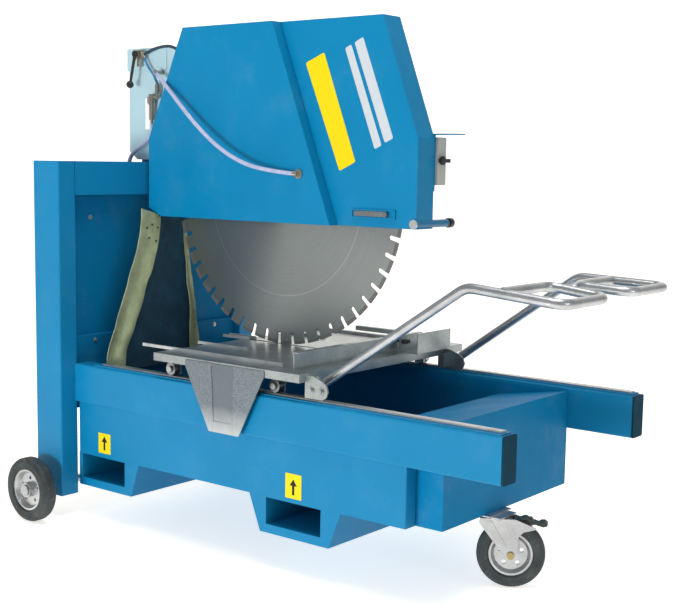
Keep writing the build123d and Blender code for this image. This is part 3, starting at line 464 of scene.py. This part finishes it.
def hose_piece(node, route, radius, body, slot):
    """A hose drawn as one smooth curve from the first point of its route to the last."""
    name = node + "_line"
    curve = bpy.data.curves.new(name, "CURVE")
    curve.dimensions = "3D"
    curve.bevel_depth = radius
    curve.bevel_resolution = 6
    curve.resolution_u = 16
    curve.use_fill_caps = True
    line = curve.splines.new("NURBS")
    line.points.add(len(route) - 1)
    for point, place in zip(line.points, route):
        point.co = (*place, 1)
    line.order_u = 3
    line.use_endpoint_u = True
    obj = bpy.data.objects.new(name, curve)
    scene.collection.objects.link(obj)
    dress(obj, FINISHES[slot])
    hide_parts(node)
    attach(obj, body)
    return obj


def build_hoses():
    for node, route, radius, slot, stiffness, lay in HOSES:
        obj = hose_piece(node, route, radius, "head", slot)


def between(ends, t):
    return ends[0] + (ends[1] - ends[0]) * t


def eased(t):
    """0 to 1, slow at both ends."""
    return 0.2 * t + 0.8 * t * t * (3 - 2 * t)


def cloth_strip(name, material, left, right, tops, seed, waves, depth, columns, rows, thick, twist=0.0,
                forward=0.0):
    """A hanging length of cloth with folds that deepen downwards.

    left and right are the y of each edge at the top and the foot; tops is the z of each edge's top. The folds
    are depth deep, in so many waves across, and they wander by twist over the height. forward is how far the
    cloth stands in front of the curtain's plane.
    """
    random.seed(seed)
    phase = random.uniform(0, 6)
    vertices = []
    for row in range(rows + 1):
        t = row / rows
        y_left = between(left, eased(t))
        y_right = between(right, eased(t))
        for column in range(columns + 1):
            u = column / columns
            z = between((between(tops, u), CURTAIN_FOOT_Z), t)
            y = between((y_left, y_right), u)
            y += noise.noise(Vector((u * 0.8, z * 7, seed + 40))) * 0.008 * math.sin(math.pi * t)
            fold = math.sin(u * waves * 2 * math.pi + phase + twist * t) * depth * (0.2 + 0.8 * t)
            crease = noise.noise(Vector((y * 9 + z * 5, z * 11, seed))) * depth * 1.3
            pucker = noise.noise(Vector((y * 40, z * 30, seed + 7))) * 0.0016
            plane = CURTAIN_X - CURTAIN_LEAN * t + forward * min(1, t * 4)
            x = plane + fold + crease * (0.15 + t) + pucker
            vertices.append((x, y, z))
    stride = columns + 1
    faces = []
    for row in range(rows):
        for column in range(columns):
            a = row * stride + column
            faces.append((a, a + 1, a + 1 + stride, a + stride))
    obj = mesh_piece(name, vertices, faces, material, "curtain", smooth=True)
    solid = obj.modifiers.new("thickness", "SOLIDIFY")
    solid.thickness = thick
    solid.offset = 0
    return obj


def build_curtain():
    mat_finish = canvas("mat_finish", (8, 54, 74), (18, 78, 102), pimples=260, sheen=0.0)
    green = canvas("canvas_green", (138, 152, 116), (184, 194, 152))
    left = cloth_strip("curtain_left", green, left=(-0.137, -0.286), right=(-0.052, -0.208),
                       tops=(0.968, 0.946), seed=3, waves=0.9, depth=0.007, columns=40, rows=120, thick=0.002,
                       twist=2.2, forward=0.012)
    mat = cloth_strip("curtain_mat", mat_finish, left=(-0.060, -0.220), right=(0.060, 0.098),
                      tops=(0.947, 0.947), seed=8, waves=1.1, depth=0.005, columns=60, rows=120, thick=0.004)
    right = cloth_strip("curtain_right", green, left=(0.052, 0.086), right=(0.066, 0.132),
                        tops=(0.900, 0.900), seed=5, waves=0.6, depth=0.006, columns=30, rows=110,
                        thick=0.002, twist=-1.6, forward=0.012)
    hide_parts("splash_curtain")
    build_fixings()


def build_fixings():
    """Small round fixings near the top of the left strip, pressed into the cloth."""
    metal = zinc("eyelet_metal", (96, 100, 92), 0.4)
    for number, (y, z) in enumerate(((-0.118, 0.905), (-0.096, 0.915), (-0.072, 0.905), (-0.110, 0.872),
                                     (-0.080, 0.862))):
        ring = []
        for step in range(12):
            angle = step * math.pi / 6
            ring.append((FIXING_X, y + FIXING_RADIUS * math.cos(angle), z + FIXING_RADIUS * math.sin(angle)))
        label(f"eyelet_{number}", ring, (1, 0, 0), metal, "curtain", 0.0025)


def label(name, corners, normal, material, body, lift=0.0006):
    """A thin plate of this outline, whose back lies on the surface and whose face stands off it by lift."""
    points = [Vector(corner) + Vector(normal) * lift for corner in corners]
    back = [Vector(corner) for corner in corners]
    count = len(points)
    faces = [tuple(range(count)), tuple(reversed(range(count, 2 * count)))]
    for i in range(count):
        j = (i + 1) % count
        faces.append((i, i + count, j + count, j))
    return mesh_piece(name, [tuple(p) for p in points + back], faces, material, body)


def softened(corners, radius):
    """The outline with its corners cut round; points are (x, z)."""
    outline = []
    count = len(corners)
    for i, here in enumerate(corners):
        here = Vector(here)
        for other in (Vector(corners[i - 1]), Vector(corners[(i + 1) % count])):
            outline.append((here, here + (other - here).normalized() * radius))
    smooth = []
    for (corner, start), (_, end) in zip(outline[0::2], outline[1::2]):
        for step in range(7):
            t = step / 6
            place = start * (1 - t) ** 2 + corner * (2 * t * (1 - t)) + end * t * t
            smooth.append((place.x, place.y))
    return smooth


def build_labels():
    yellow = paint("label_yellow", (232, 202, 4), rough=0.45, wear=0.1, dirt=0.2, edge=0.0003)
    pale = paint("label_pale", (190, 198, 204), rough=0.45, wear=0.1, dirt=0.15, edge=0.0003)
    dark = paint("label_dark", (26, 28, 30), rough=0.45, wear=0.1, dirt=0.15, edge=0.0003)
    white = paint("bracket_white", (232, 236, 238), rough=0.4, edge=0.0003)
    band = [(-0.116, 1.412), (-0.047, 1.440), (0.074, 1.127), (0.016, 1.100)]
    near_stripe = [(0.030, 1.448), (0.052, 1.458), (0.166, 1.174), (0.142, 1.163)]
    far_stripe = [(0.064, 1.463), (0.094, 1.477), (0.206, 1.194), (0.177, 1.181)]
    for name, corners, finish in (("band_label", band, yellow),
                                  ("stripe_label_0", near_stripe, pale),
                                  ("stripe_label_1", far_stripe, pale)):
        side_label(name, softened(corners, 0.006), HOOD_NEAR_Y, finish, "head")
    bracket = [(-0.794, 1.221), (-0.769, 1.221), (-0.769, 1.324), (-0.794, 1.324)]
    side_label("bracket_face", softened(bracket, 0.004), BRACKET_NEAR_Y, white, "head")
    for number, box in enumerate(((-0.668, -0.613, 0.216, 0.279), (0.103, 0.160, 0.214, 0.283))):
        lift_label(number, *box, yellow, dark)


def lift_label(number, x0, x1, z0, z1, field, mark):
    """A rectangle with an upward arrow in its middle."""
    plate = [(x0, z0), (x1, z0), (x1, z1), (x0, z1)]
    side_label(f"lift_label_{number}", plate, SIDE_BOX_NEAR_Y, field, "base")
    middle = (x0 + x1) / 2
    foot, neck, tip = z0 + 0.010, z0 + 0.036, z0 + 0.054
    half_shaft, half_head = 0.004, 0.013
    arrow = [(middle - half_shaft, foot), (middle + half_shaft, foot), (middle + half_shaft, neck),
             (middle + half_head, neck), (middle, tip), (middle - half_head, neck),
             (middle - half_shaft, neck)]
    side_label(f"lift_arrow_{number}", arrow, SIDE_BOX_NEAR_Y - 0.0006, mark, "base", 0.0004)


def side_label(name, outline, y, material, body, lift=0.0006):
    """A label on a face that looks towards -Y; the outline's points are (x, z)."""
    label(name, [(x, y, z) for x, z in outline], (0, -1, 0), material, body, lift)


# ---------------------------------------------------------------- studio
def sweep(finish):
    """A floor that curves up into a wall behind the machine."""
    profile = [(SWEEP_START, 0.0), (SWEEP_WALL, 0.0)]
    for step in range(1, 13):
        angle = step / 12 * math.pi / 2
        profile.append((SWEEP_WALL + SWEEP_BEND * math.sin(angle), SWEEP_BEND - SWEEP_BEND * math.cos(angle)))
    profile.append((SWEEP_WALL + SWEEP_BEND, SWEEP_TOP))
    turn = math.radians(VIEW_TURN)
    away = Vector((-math.sin(turn), math.cos(turn), 0))
    across = Vector((math.cos(turn), math.sin(turn), 0))
    vertices = []
    for distance, height in profile:
        for side in (-SWEEP_HALF, SWEEP_HALF):
            vertices.append(tuple(away * distance + across * side + Vector((0, 0, height))))
    faces = [(i, i + 1, i + 3, i + 2) for i in range(0, len(vertices) - 2, 2)]
    data = bpy.data.meshes.new("backdrop")
    data.from_pydata(vertices, [], faces)
    for polygon in data.polygons:
        polygon.use_smooth = True
    obj = bpy.data.objects.new("backdrop", data)
    scene.collection.objects.link(obj)
    dress(obj, finish)


def ground(finish):
    """A wide level floor just under the sweep, for every side that the sweep doesn't cover."""
    corners = [(x * GROUND_HALF, y * GROUND_HALF, GROUND_Z) for x, y in ((-1, -1), (1, -1), (1, 1), (-1, 1))]
    data = bpy.data.meshes.new("floor")
    data.from_pydata(corners, [], [(0, 1, 2, 3)])
    obj = bpy.data.objects.new("floor", data)
    scene.collection.objects.link(obj)
    dress(obj, finish)


def pale_finish(name, low, high, rough, glow_color, glow_strength):
    """Matt studio board that glows a little."""
    s = Shader(name)
    s.glow(glow_color, glow_strength)
    color = s.mix(s.noise(3, 4), linear(*low), linear(*high))
    return s.put(color=color, rough=rough, normal=s.bump(s.noise(60, 3), 0.0004, 0.2))


def sky():
    world = bpy.data.worlds.new("world")
    world.use_nodes = True
    back = world.node_tree.nodes["Background"]
    back.inputs["Color"].default_value = (1.0, 1.0, 0.99, 1)
    back.inputs["Strength"].default_value = 0.38
    scene.world = world


def lamp(name, place, target, size, power, mirrored=True):
    """A square lamp; one that isn't mirrored lights the metal without showing in it."""
    light = bpy.data.lights.new(name, "AREA")
    light.size = size
    light.energy = power
    obj = bpy.data.objects.new(name, light)
    scene.collection.objects.link(obj)
    obj.location = place
    obj.rotation_mode = "QUATERNION"
    obj.rotation_quaternion = (Vector(target) - Vector(place)).to_track_quat("-Z", "Y")
    obj.visible_glossy = mirrored


def build_studio():
    sweep(pale_finish("backdrop_finish", (252, 244, 233), (253, 247, 238), rough=0.55,
                      glow_color=(1.0, 0.985, 0.96), glow_strength=0.60))
    ground(pale_finish("ground_finish", (196, 197, 198), (204, 205, 206), rough=0.6,
                       glow_color=(1.0, 1.0, 1.0), glow_strength=0.10))
    sky()
    lamp("key", (-0.3, -4.9, 0.35), (-0.2, 0, 0.9), 1.1, 172, mirrored=False)
    lamp("fill", (4.3, -0.6, 1.6), (-0.4, 0, 0.8), 0.9, 14)
    lamp("top", (0.6, -0.4, 4.2), (0.1, 0, 0), 2.2, 80)
    scene.view_settings.view_transform = "Standard"


aim_camera()
dress_nodes()
build_hoses()
build_curtain()
build_labels()
build_studio()
